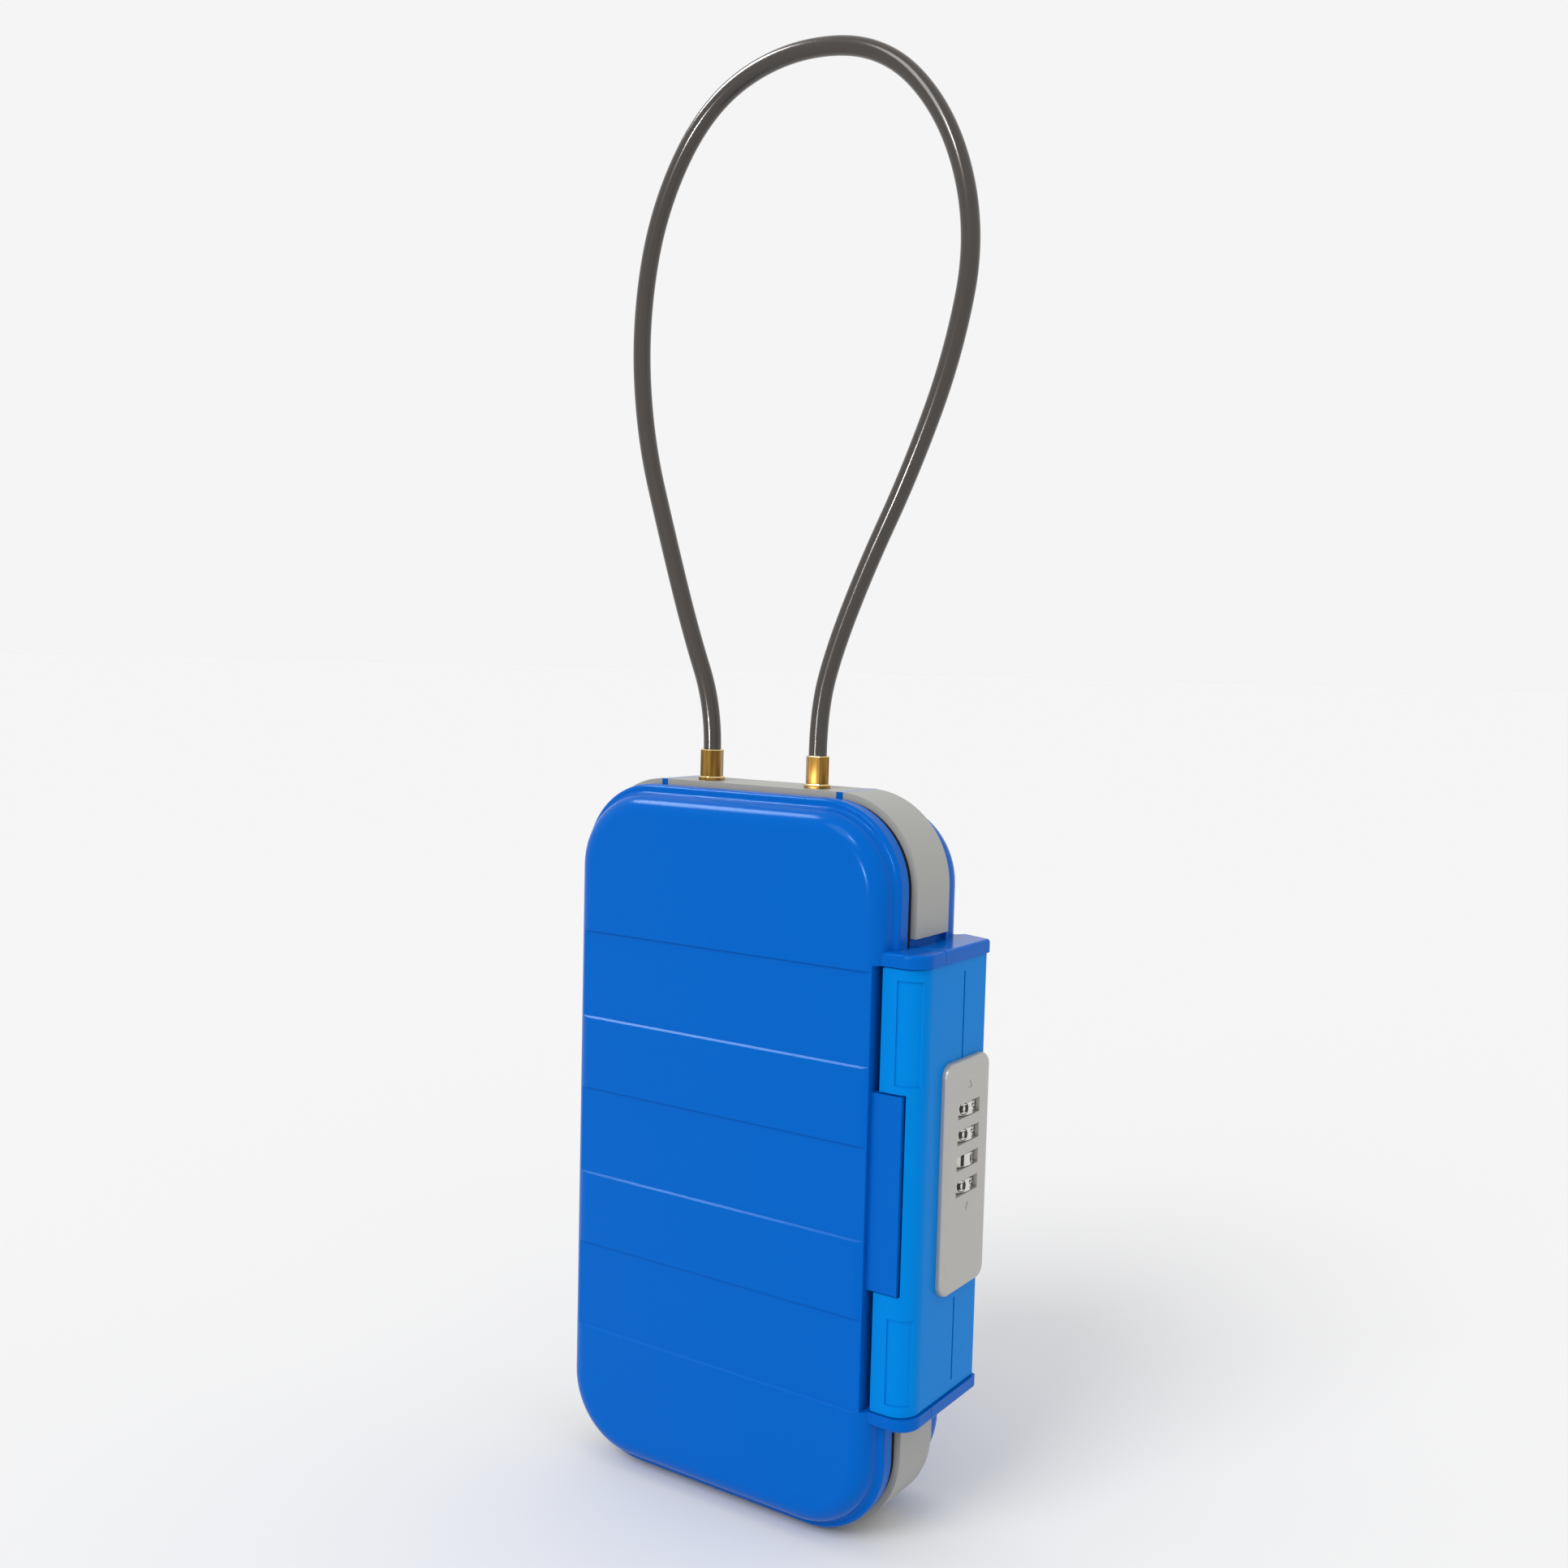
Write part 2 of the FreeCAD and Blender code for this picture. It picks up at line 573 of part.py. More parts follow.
def corner_at(side, face, inset=0.0):
    """The place of one of the latch's upright outer corners, set in by a distance, for along_axis."""
    sense = -1 if face == "latch_back" else 1
    return (size_of(side) - inset, size_of(face) + sense * inset, 0)


def latch_block(name, inset, ends, rounds):
    """An upright block of the latch's outline, set in at the front, the side and the back."""
    corners = [("latch_lip - 5", "latch_front + " + inset), ("latch_side - " + inset, "latch_front + " + inset),
               ("latch_side - " + inset, "latch_back - " + inset), ("latch_lip - 5", "latch_back - " + inset)]
    return plate(name, "z", ends[0], ends[1], corners, rounds)


def latch_cover():
    outline = [("latch_lip", "latch_front"), ("latch_side", "latch_front"), ("latch_side", "latch_back"),
               ("latch_lip", "latch_back")]
    lips = [(size_of("latch_lip"), 0, size_of(end)) for end in ("latch_low", "latch_high")]
    rounds = [("flange_corner", along_axis("z", corner_at("latch_side", "latch_front"))),
              ("latch_edge", along_axis("z", corner_at("latch_side", "latch_back")))]
    rounds += [("0.6", along_axis("y", lip)) for lip in lips]
    outer = plate("latch_outer", "z", "latch_low", "latch_high", outline, rounds)
    inner_corner = corner_at("latch_side", "latch_front", size_of("latch_wall"))
    space = latch_block("latch_space", "latch_wall", ("latch_low + latch_wall", "latch_high - latch_wall"),
                        [("flange_corner - latch_wall", along_axis("z", inner_corner))])
    solids = [cut("latch_shell", outer, space)]
    for name, low in (("low", "latch_low + 1"), ("high", "latch_high - 18")):
        solids.append(box("latch_eye_" + name, ("latch_pin_x - 4", "latch_side - 1"),
                          ("latch_pin_y - 4", "latch_back - 1"), (low, low + " + 17")))
    tools = [rod("latch_bore", "latch_pin_x", "latch_pin_y", "latch_low - 1", "latch_pin_radius + running_gap",
                 "latch_high - latch_low + 2")]
    tools.append(box("latch_notch", ("latch_lip - 1", "tongue_tip + 0.6"),
                     ("latch_front - 1", "latch_front + latch_wall + 3"), ("tongue_low - 0.4", "tongue_high + 0.4")))
    tools.append(box("latch_dial_window", ("latch_side - latch_wall - 1", "latch_side + 1"),
                     ("dial_y - dial_radius - 1", "dial_y + dial_radius + 1"),
                     (dial_height(3) + " - 4.5", dial_height(0) + " + 4.5")))
    for number, (low, high) in enumerate(CHANNELS):
        tools += latch_channel(number, low, high)
    for number, (y, z) in enumerate(PLATE_SCREWS):
        solids.append(rod("latch_boss_%d" % number, "latch_lip - 1.3", y, z, "2.6", "latch_side - latch_lip", "x"))
        tools.append(rod("latch_screw_hole_%d" % number, "latch_lip - 4", y, z, "plate_screw_radius", "9", "x"))
    for number, (y, z) in enumerate(RIVETS):
        tools.append(rod("latch_rivet_hole_%d" % number, "latch_side - 5", y, z, "rivet_radius + running_gap", "8",
                         "x"))
    node(cut("latch_final", fuse("latch_with_bosses", *solids), *tools), "latch_cover")


def latch_channel(number, low, high):
    """The cutters of a shallow channel on the front corner and of the groove beside it on the side."""
    block = box("latch_channel_block_%d" % number, ("latch_lip + 4.3", "latch_side + 1"),
                ("latch_front - 1", "latch_front + 3"), (low, high))
    corner = corner_at("latch_side", "latch_front", size_of("channel_depth"))
    keep = latch_block("latch_channel_keep_%d" % number, "channel_depth", ("latch_low", "latch_high"),
                       [("flange_corner - channel_depth", along_axis("z", corner))])
    groove = box("latch_groove_%d" % number, ("latch_side - channel_depth", "latch_side + 1"),
                 ("groove_front", "groove_front + groove_width"), (low, high))
    return [cut("latch_channel_%d" % number, block, keep), groove]


def latch_pin():
    low = "pocket_low - flange_thick + 0.4"
    high = "pocket_high + flange_thick - 1.3"
    node(rod("latch_pin_rod", "latch_pin_x", "latch_pin_y", low, "latch_pin_radius", "%s - (%s)" % (high, low)),
         "latch_pin")


def escutcheon():
    corners = [("plate_front", "plate_low"), ("plate_back", "plate_low"), ("plate_back", "plate_high"),
               ("plate_front", "plate_high")]
    slab_body = plate("escutcheon_slab", "x", "latch_side + 0.02", "plate_face", corners,
                      [("plate_corner", along_axis("x"))], ("plate_edge", in_plane("x", size_of("plate_face"))))
    window = "window_middle - window_half_width", "window_middle + window_half_width"
    tools = []
    for number in range(4):
        middle = dial_height(number)
        tools.append(box("escutcheon_window_%d" % number, ("latch_side - 1", "plate_face + 2"), window,
                         (middle + " - window_height / 2", middle + " + window_height / 2")))
        tools.append(box("escutcheon_relief_%d" % number, ("latch_side - 1", "latch_side + 0.9"),
                         ("dial_y", "dial_y + dial_radius - 1.2"),
                         (middle + " - window_height / 2", middle + " + window_height / 2")))
    for name, z, turn in (("up", dial_height(0) + " + 6.4", 180), ("down", dial_height(3) + " - 5.3", 0)):
        mark = hexagon("escutcheon_mark_" + name, "plate_face - mark_depth", "window_middle", z, "1.5", "2", 3,
                       "x")
        mark.Placement.Rotation = FreeCAD.Rotation(FreeCAD.Vector(1, 0, 0), turn) * TURNS["x"]
        tools.append(mark)
    for number, (y, z) in enumerate(RIVETS):
        tools.append(rod("escutcheon_rivet_hole_%d" % number, "latch_side - 1", y, z, "rivet_radius", "2.2",
                         "x"))
    node(cut("escutcheon_final", slab_body, *tools), "escutcheon")


def escutcheon_screws():
    screws = []
    for number, (y, z) in enumerate(RIVETS):
        head = rod("plate_screw_head_%d" % number, "latch_side - latch_wall - 1.4", y, z, "rivet_radius + 1",
                   "1.4", "x")
        shaft = rod("plate_screw_shaft_%d" % number, "latch_side - latch_wall - 0.5", y, z, "rivet_radius",
                    "latch_wall + 1.6", "x")
        screws.append(fuse("plate_screw_%d" % number, head, shaft))
    node(group("plate_screws_all", screws), "escutcheon_screws")


def group(name, pieces):
    """Separate solids that share one node."""
    item = doc.addObject("Part::Compound", name)
    item.Links = pieces
    return item


# ---------------------------------------------------------------------------
# Combination lock inside the latch.

def lock_frame():
    """A bracket whose two arms carry the spindle."""
    low_arm = dial_height(3) + " - hub_height / 2 - 3"
    high_arm = dial_height(0) + " + hub_height / 2 + 0.3"
    across = "dial_x - 5.6", "dial_x + 1.6"
    solids = [box("frame_web", across, ("-1.8", "0.4"), (low_arm, high_arm + " + arm_thick"))]
    for name, low in (("low", low_arm), ("high", high_arm)):
        solids.append(box("frame_arm_" + name, across, ("-1.8", "dial_y + 7"), (low, low + " + arm_thick")))
    bore = rod("frame_bore", "dial_x", "dial_y", low_arm + " - 5", "bolt_radius + running_gap", "60")
    node(cut("frame_final", fuse("frame_solid", *solids), bore), "lock_frame")


def detent_spring():
    """A leaf with one finger for each dial, behind the dials."""
    deep = "dial_y + dial_radius + 0.1", "dial_y + dial_radius + 0.5"
    solids = [box("detent_leaf", ("dial_x - 5", "dial_x - 3.4"), deep,
                  (dial_height(3) + " - 4", dial_height(0) + " + 4"))]
    for number in range(4):
        middle = dial_height(number)
        solids.append(box("detent_finger_%d" % number, ("dial_x - 4.2", "dial_x + 1"), deep,
                          (middle + " - 1.5", middle + " + 1.5")))
    node(fuse("detent_whole", *solids), "detent_spring")


def lock_back_plate():
    sheet_metal = box("back_plate_sheet", ("latch_lip - 2.1", "latch_lip - 1.3"), ("-0.9", "21"), ("60", "135"))
    tools = [cone("back_plate_sink_%d" % number, "latch_lip - 2.1", y, z, 2.3, 1.3, "0.8")
             for number, (y, z) in enumerate(PLATE_SCREWS)]
    tools.append(rod("back_plate_reset_hole", "latch_lip - 4", "dial_y", "reset_height",
                     "reset_radius + running_gap", "6", "x"))
    tools.append(box("back_plate_relief", ("latch_lip - 3", "latch_lip"), ("dial_y - 5", "dial_y + 5"),
                     (dial_height(3) + " - 3", dial_height(0) + " + 3")))
    node(cut("back_plate_final", sheet_metal, *tools), "lock_back_plate")


def cone(name, x, y, z, start, end, length):
    """A cone along X."""
    item = doc.addObject("Part::Cone", name)
    item.Placement = FreeCAD.Placement(FreeCAD.Vector(), TURNS["x"])
    item.Radius1 = start
    item.Radius2 = end
    item.setExpression("Height", bound(length))
    place(item, x, y, z)
    return item


def back_plate_screws():
    screws = []
    for number, (y, z) in enumerate(PLATE_SCREWS):
        head = cone("back_screw_head_%d" % number, "latch_lip - 2.1", y, z, 2.25, 1.0, "0.8")
        shaft = rod("back_screw_shaft_%d" % number, "latch_lip - 1.4", y, z, "plate_screw_radius", "5", "x")
        screws.append(fuse("back_screw_%d" % number, head, shaft))
    node(group("back_screws_all", screws), "back_plate_screws")


def reset_pin():
    node(rod("reset_pin_rod", "latch_lip - 2", "dial_y", "reset_height", "reset_radius", "4", "x"), "reset_pin")


def dials():
    """Four dials, each a numbered ring on a hub, with a clutch sleeve inside."""
    for number in range(4):
        middle = dial_height(number)
        name = "dial_%d" % (number + 1)
        below = middle + " - 6"
        ring = rod(name + "_ring", "dial_x", "dial_y", middle + " - ring_height / 2", "dial_radius", "ring_height")
        hub = rod(name + "_hub", "dial_x", "dial_y", middle + " - hub_height / 2", "hub_radius", "hub_height")
        bore = rod(name + "_bore", "dial_x", "dial_y", below, "clutch_radius + running_gap", "12")
        node(cut(name + "_final", fuse(name + "_solid", ring, hub), bore), name)
        sleeve = rod(name + "_sleeve", "dial_x", "dial_y", middle + " - hub_height / 2 + 0.1", "clutch_radius",
                     "hub_height - 0.2")
        hole = rod(name + "_sleeve_hole", "dial_x", "dial_y", below, "bolt_radius + 0.1", "12")
        slot = box(name + "_sleeve_slot", ("dial_x - 0.6", "dial_x + 0.6"),
                   ("dial_y - clutch_radius + 0.5", "dial_y"), (below, below + " + 12"))
        node(cut(name + "_sleeve_final", sleeve, hole, slot), "clutch_%d" % (number + 1))


def lock_bolt():
    """The spindle with an arm at its foot and the bolt that enters the lid's lug."""
    low = "lug_low - 7"
    spindle = rod("bolt_spindle", "dial_x", "dial_y", low, "bolt_radius", "dial_top + 6.6 - (%s)" % low)
    arm = box("bolt_arm", ("latch_lip + 1.2", "dial_x"), ("flange_front + 3.6", "dial_y + 2.6"),
              (low, low + " + 3"))
    tip = rod("bolt_tip", "latch_lip + 3", "flange_front + bolt_deep", low, "bolt_tip_radius", "6.2")
    node(fuse("bolt_whole", spindle, arm, tip), "lock_bolt")


def bolt_spring():
    """A compression spring round the spindle, between the bolt's arm and the frame."""
    wire_radius = size_of("spring_wire")
    start = size_of("lug_low") - 4 + 1.5 * wire_radius
    frame_low = size_of("dial_top") - 3 * size_of("dial_pitch") - size_of("hub_height") / 2 - 3
    coil = size_of("bolt_radius") + 0.1 + wire_radius
    helix = doc.addObject("Part::Helix", "bolt_spring_path")
    helix.Radius = coil
    helix.Pitch = size_of("spring_pitch")
    helix.Height = frame_low - 1.5 * wire_radius - start
    wire = doc.addObject("Part::Circle", "bolt_spring_wire")
    wire.Radius = wire_radius
    upright = FreeCAD.Rotation(FreeCAD.Vector(1, 0, 0), 90)
    wire.Placement = FreeCAD.Placement(FreeCAD.Vector(coil, 0, 0), upright)
    sweep = doc.addObject("Part::Sweep", "bolt_spring_sweep")
    sweep.Sections = [wire]
    sweep.Spine = (helix, [])
    sweep.Solid = True
    sweep.Frenet = True
    place(sweep, "dial_x", "dial_y", str(start))
    node(sweep, "bolt_spring")


# ---------------------------------------------------------------------------
# Cable: brass ferrules, their nuts, the two terminals and the retainer inside.

SIDES = (("fixed", -1), ("free", 1))


def ferrules():
    foot = "case_height + 0.05"
    nut_low = "case_height - crown_ends - wall - 3.2"
    for name, side in SIDES:
        x = "%d * cable_x" % side
        body = hexagon(name + "_hex", x, "cable_y", foot, "ferrule_flats", "ferrule_height - 0.05")
        collar = hexagon(name + "_collar", x, "cable_y", foot, "ferrule_flats + 0.9", "1.2")
        shank = rod(name + "_shank", x, "cable_y", "case_height - 11", "ferrule_shank", "11.5")
        bore = rod(name + "_bore", x, "cable_y", "case_height - 15", "cable_radius + running_gap", "30")
        solid = fuse(name + "_ferrule_solid", body, collar, shank)
        node(cut(name + "_ferrule_cut", solid, bore), "ferrule_" + name)
        nut = hexagon(name + "_nut_hex", x, "cable_y", nut_low, "nut_flats", "3.15")
        hole = rod(name + "_nut_hole", x, "cable_y", nut_low + " - 1", "ferrule_shank + running_gap", "6")
        node(cut(name + "_nut_cut", nut, hole), "ferrule_nut_" + name)


def terminals():
    """The swaged ends of the cable, inside the ferrules."""
    top = "case_height + ferrule_height"
    low = "case_height - 16"
    fixed = rod("terminal_fixed_rod", "-cable_x", "cable_y", low, "cable_radius", "%s - (%s)" % (top, low))
    stop = rod("terminal_fixed_stop", "-cable_x", "cable_y", low, "cable_radius + 0.9", "3")
    node(fuse("terminal_fixed_whole", fixed, stop), "terminal_fixed")
    low = "case_height - 18"
    free = rod("terminal_free_rod", "cable_x", "cable_y", low, "cable_radius", "%s - (%s)" % (top, low))
    outer = rod("terminal_groove_outer", "cable_x", "cable_y", "retainer_low - 0.3", "cable_radius + 1",
                "retainer_thick + 0.6")
    inner = rod("terminal_groove_inner", "cable_x", "cable_y", "retainer_low - 1", "neck_radius", "4")
    node(cut("terminal_free_whole", free, cut("terminal_groove", outer, inner)), "terminal_free")


def retainer():
    """A sliding fork that holds the free terminal by its groove, in a bracket under the top wall."""
    low = "retainer_low"
    half = "3.6"
    deep = "cable_y - " + half, "cable_y + " + half
    below = "retainer_low - 3"
    roof = "case_height - crown_ends - wall"
    slide = box("retainer_slide", ("-8", "21"), deep, (low, low + " + retainer_thick"))
    thumb = box("retainer_thumb", ("-1.5", "1.5"), deep, (low + " - 7", low + " + 0.5"))
    mouth = box("retainer_mouth", ("cable_x", "25"), ("cable_y - neck_radius - 0.2", "cable_y + neck_radius + 0.2"),
                (low + " - 1", low + " + 4"))
    root = rod("retainer_mouth_end", "cable_x", "cable_y", low + " - 1", "neck_radius + 0.2", "5")
    node(cut("retainer_final", fuse("retainer_solid", slide, thumb), mouth, root), "cable_retainer")
    block = box("bracket_block", ("-10", "12"), ("cable_y - 5.6", "cable_y + 5.6"),
                (low + " - 1.2", roof + " - 0.02"))
    inside = box("bracket_inside", ("-12", "14"), ("cable_y - 4", "cable_y + 4"), (low + " - 0.3", roof + " - 2"))
    slot = box("bracket_slot", ("-12", "14"), ("cable_y - 2.4", "cable_y + 2.4"), (below, low))
    wide = box("bracket_thumb_way", ("-9", "3"), ("cable_y - 4", "cable_y + 4"), (below, low))
    holes = []
    screws = []
    for number, across in enumerate(RETAINER_SCREWS):
        holes.append(rod("bracket_hole_%d" % number, across, "cable_y", low, "retainer_screw_radius + 0.1", "12"))
        head = rod("retainer_screw_head_%d" % number, across, "cable_y", roof + " - 3.4", "2.1", "1.35")
        shaft = rod("retainer_screw_shaft_%d" % number, across, "cable_y", roof + " - 3", "retainer_screw_radius",
                    "5.4")
        screws.append(fuse("retainer_screw_%d" % number, head, shaft))
    node(cut("bracket_final", block, inside, slot, wide, *holes), "retainer_bracket")
    node(group("retainer_screws_all", screws), "retainer_screws")


# The loop's route in its own plane, from the fixed ferrule over to the free one: X and Z.
CABLE_ROUTE = [
    (-17.8, 208.8), (-17.8, 221.0), (-26.5, 242.0), (-35.5, 269.0), (-44.5, 298.0), (-47.0, 330.0),
    (-41.0, 362.0), (-24.0, 388.0), (2.0, 398.0), (32.0, 394.0), (52.0, 373.0), (61.0, 343.0),
    (55.5, 313.0), (44.0, 284.0), (31.5, 259.5), (22.0, 237.0), (17.8, 221.0), (17.8, 208.8),
]


def cable():
    """The sheathed cable: straight runs joined by tangent arcs, swept as one tube."""
    plane = size_of("cable_y")
    points = [FreeCAD.Vector(x, plane, z) for x, z in CABLE_ROUTE]
    edges = []
    start = points[0]
    for before, at, after in zip(points, points[1:], points[2:]):
        come = (at - before).normalize()
        go = (after - at).normalize()
        turn = come.getAngle(go)
        reach = 0.45 * min((at - before).Length, (after - at).Length)
        radius = reach / math.tan(turn / 2)
        first = at - come * reach
        last = at + go * reach
        middle = at + (go - come).normalize() * (radius / math.cos(turn / 2) - radius)
        edges.append(Part.LineSegment(start, first).toShape())
        edges.append(Part.Arc(first, middle, last).toShape())
        start = last
        print("cable radius %.1f mm at (%.1f, %.1f)" % (radius, at.x, at.z))
    edges.append(Part.LineSegment(start, points[-1]).toShape())
    path = Part.Wire(edges)
    radius = size_of("cable_radius")
    ring = Part.Wire([Part.Circle(points[0], points[1] - points[0], radius).toShape()])
    tube = path.makePipeShell([ring], True, False)
    expected = math.pi * radius ** 2 * path.Length
    share = tube.Volume / expected
    print("cable length %.1f mm, volume %.4f of its section times its length" % (path.Length, share))
    item = doc.addObject("Part::Feature", "cable_tube")
    item.Shape = tube
    node(item, "cable_sheath")


# ---------------------------------------------------------------------------

def check_and_export():
    """Stop if any object failed, then write every node."""
    doc.recompute()
    failed = [item.Name for item in doc.Objects if "Invalid" in item.State or "Error" in item.State]
    if failed:
        raise RuntimeError("failed objects: " + ", ".join(failed))
    os.makedirs("parts", exist_ok=True)
    for item in NODES:
        shape = item.Shape
        if shape.isNull() or not shape.isValid() or shape.Volume <= 0:
            raise RuntimeError("bad shape: " + item.Label)
        print("%-22s %2d solid(s) %10.1f mm3" % (item.Label, len(shape.Solids), shape.Volume))
        shape.exportStep("parts/%s.step" % item.Label)


cable()
rear_shell()
bumper_strips()
seal()
lid_shell()
hinge_pin()
latch_cover()
latch_pin()
escutcheon()
escutcheon_screws()
lock_frame()
detent_spring()
lock_back_plate()
back_plate_screws()
reset_pin()
dials()
lock_bolt()
bolt_spring()
ferrules()
terminals()
retainer()
check_and_export()
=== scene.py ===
import json
import math

import bmesh
import bpy
from bpy.props import FloatProperty, FloatVectorProperty, IntProperty, PointerProperty
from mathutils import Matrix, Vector


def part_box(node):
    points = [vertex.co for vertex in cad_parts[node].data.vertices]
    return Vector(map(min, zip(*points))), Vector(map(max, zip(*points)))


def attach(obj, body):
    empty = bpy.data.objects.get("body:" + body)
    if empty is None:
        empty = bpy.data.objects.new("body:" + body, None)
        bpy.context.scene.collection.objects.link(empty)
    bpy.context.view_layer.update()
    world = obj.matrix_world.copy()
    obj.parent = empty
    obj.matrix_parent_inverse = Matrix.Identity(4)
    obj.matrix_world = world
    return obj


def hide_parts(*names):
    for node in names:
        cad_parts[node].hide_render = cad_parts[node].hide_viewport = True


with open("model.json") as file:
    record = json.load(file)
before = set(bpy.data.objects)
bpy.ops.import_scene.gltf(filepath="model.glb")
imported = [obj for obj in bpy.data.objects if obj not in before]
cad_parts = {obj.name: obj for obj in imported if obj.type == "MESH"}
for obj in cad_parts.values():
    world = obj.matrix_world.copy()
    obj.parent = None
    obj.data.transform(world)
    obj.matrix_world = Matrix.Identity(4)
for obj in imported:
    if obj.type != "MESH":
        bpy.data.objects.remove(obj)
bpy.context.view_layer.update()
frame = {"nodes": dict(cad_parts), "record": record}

bl_info = {
    "name": "Cable Lock Box",
    "version": (1, 0, 0),
    "blender": (4, 5, 0),
    "location": "3D View > Sidebar > Cable Lock",
    "description": "Builds the looks of a cable lock box round its fixed frame",
    "category": "Object",
}

MM = 0.001

# The cable's route over the loop, from the fixed ferrule to the free one, in metres.
CABLE_PLANE = 0.0064
CABLE_ROUTE = [
    (-0.0178, 0.2088), (-0.0178, 0.2210), (-0.0265, 0.2420), (-0.0355, 0.2690), (-0.0445, 0.2980),
    (-0.0470, 0.3300), (-0.0410, 0.3620), (-0.0240, 0.3880), (0.0020, 0.3980), (0.0320, 0.3940),
    (0.0520, 0.3730), (0.0610, 0.3430), (0.0555, 0.3130), (0.0440, 0.2840), (0.0315, 0.2595),
    (0.0220, 0.2370), (0.0178, 0.2210), (0.0178, 0.2088),
]

# The camera: its place in metres, its turns in degrees, its lens and sensor in millimetres.
CAMERA_PLACE = (0.25527, -0.36352, 0.23464)
CAMERA_TURNS = (85.60, -1.455, 33.98)
CAMERA_LENS = 37.18
CAMERA_SENSOR = 36.0
NEAREST_SEEN = 0.01

# The studio: a pale surround, one broad high light, and softboxes that show only as highlights.
SURROUND = "#F5F5F5"
FLOOR_RADIUS = 30.0
FLOOR_DROP = 0.05 * MM
SUN_PLACE = (-0.4, -0.4, 1.0)
SUN_AIM = (0.12, 0.85, -0.75)
SUN_SPREAD = 30
SUN_STRENGTH = 1.3
SOFTBOX_TARGET = (0, 0, 0.12)
SOFTBOXES = (
    # name, place, side of the square in metres, radiance
    ("front", (-0.085, -1.0, 0.21), 0.07, 220.0),
    ("high_right", (0.10, -0.85, 0.90), 0.08, 120.0),
    ("over_left", (-0.60, -0.22, 0.95), 0.30, 25.0),
)

# Each ferrule, and how far its flats are turned about the cable, in degrees.
FERRULE_TURNS = (("fixed", 47.5), ("free", 12.7))
FERRULE_SEAT = 0.05 * MM
BORE_CLEARANCE = 0.05 * MM
BORE_DEPTH = 0.04

# The digits' places on the four dials from the top, and the shape of a digit beside its height.
DIGITS_SHOWN = (9, 9, 0, 9)
DIGIT_THICK = 0.3 * MM
DIGIT_BOLD = 0.07
DIGIT_WIDTH = 1.35
CAPITAL_HEIGHT = 0.7

# Two corners of a mesh lie at one height when they differ by less than this.
LEVEL = 1e-6

# The colour inputs and the colour output of a mix node.
MIX_FIRST, MIX_SECOND, MIX_RESULT = 6, 7, 2


def linear(code):
    """A hex sRGB colour as the linear red, green, blue and alpha that Blender works in."""
    parts = [int(code[i:i + 2], 16) / 255 for i in (1, 3, 5)]
    return tuple(p / 12.92 if p <= 0.04045 else ((p + 0.055) / 1.055) ** 2.4 for p in parts) + (1.0,)


def colour(name, code, about):
    """A colour property whose default is a hex colour."""
    return FloatVectorProperty(name=name, description=about, default=linear(code), size=4, min=0, max=1,
                               subtype="COLOR")


def length(name, millimetres, about):
    """A length property whose default is given in millimetres."""
    return FloatProperty(name=name, description=about, default=millimetres * MM, min=0, precision=5,
                         unit="LENGTH")


class CableLockSizes(bpy.types.PropertyGroup):
    """Sizes of the pieces that the frame leaves to the looks."""
    cable_diameter: length("Cable", 5.0, "Diameter of the sheathed cable")
    ferrule_flats: length("Ferrule", 5.8, "Across the flats of a ferrule")
    flange_flats: length("Ferrule flange", 6.7, "Across the flats of the flange at a ferrule's foot")
    flange_height: length("Flange height", 1.2, "Height of the flange at a ferrule's foot")
    ferrule_edge: length("Ferrule edge", 0.3, "Chamfer of a ferrule's edges")
    dial_radius: length("Dial radius", 7.4, "Radius of a numbered ring")
    ring_height: length("Ring height", 3.6, "Height of a numbered ring")
    hub_radius: length("Hub radius", 4.2, "Radius of a dial's hub")
    bore_radius: length("Dial bore", 3.05, "Radius of a dial's bore")
    dial_edge: length("Dial edge", 0.35, "Rounding of a numbered ring's edges")
    digit_height: length("Digit height", 2.9, "Height of a digit")
    digit_stand: length("Digit relief", 0.04, "How far the ink stands out of the ring")
    digit_line: FloatProperty(name="Digit line", description="Turn of the digits past the latch's side",
                              default=math.radians(12), subtype="ANGLE")
    digits: IntProperty(name="Digits", description="Digits round a dial", default=10, min=2, max=12)


class CableLockColours(bpy.types.PropertyGroup):
    """Colours of the finishes."""
    shell: colour("Shells", "#005CB8", "Moulded plastic of the two shells")
    latch: colour("Latch", "#007CD0", "Moulded plastic of the latch")
    strip: colour("Bumper strips", "#9C9C98", "Soft plastic of the bumper strips")
    plate: colour("Escutcheon", "#B0AEAA", "Painted casting round the dials")
    dial: colour("Dials", "#D6D5CE", "Plated rings of the dials")
    ink: colour("Digits", "#141312", "Paint in the digits")
    brass: colour("Ferrules", "#9A7636", "Drawn brass")
    brass_dark: colour("Ferrule streaks", "#6E522A", "Darker streaks of the drawn brass")
    # Painted highlight: a pale brass for the ferrules' chamfers, standing in for their glints.
    brass_edge: colour("Ferrule edges", "#E8CF94", "Polished edges of the ferrules")
    sheath: colour("Cable", "#37312C", "Sheath of the cable")
    seal: colour("Seal", "#0A0A0B", "Rubber of the seal")
    steel: colour("Steel", "#9A9A9C", "Pins, screws and plates")
    inner: colour("Inner parts", "#1C1C1E", "Nylon parts inside the lock")
    floor: colour("Floor", "#E4E4E4", "Paper under the object")


# ---------------------------------------------------------------------------
# Finishes.

def add_node(tree, kind, settings, feeds=()):
    """Add a node: settings are its attributes or its inputs' values, feeds are (input, source) links."""
    made = tree.nodes.new(kind)
    for key, value in settings.items():
        if isinstance(key, str) and hasattr(made, key):
            setattr(made, key, value)
        else:
            made.inputs[key].default_value = value
    for key, source in feeds:
        tree.links.new(source, made.inputs[key])
    return made


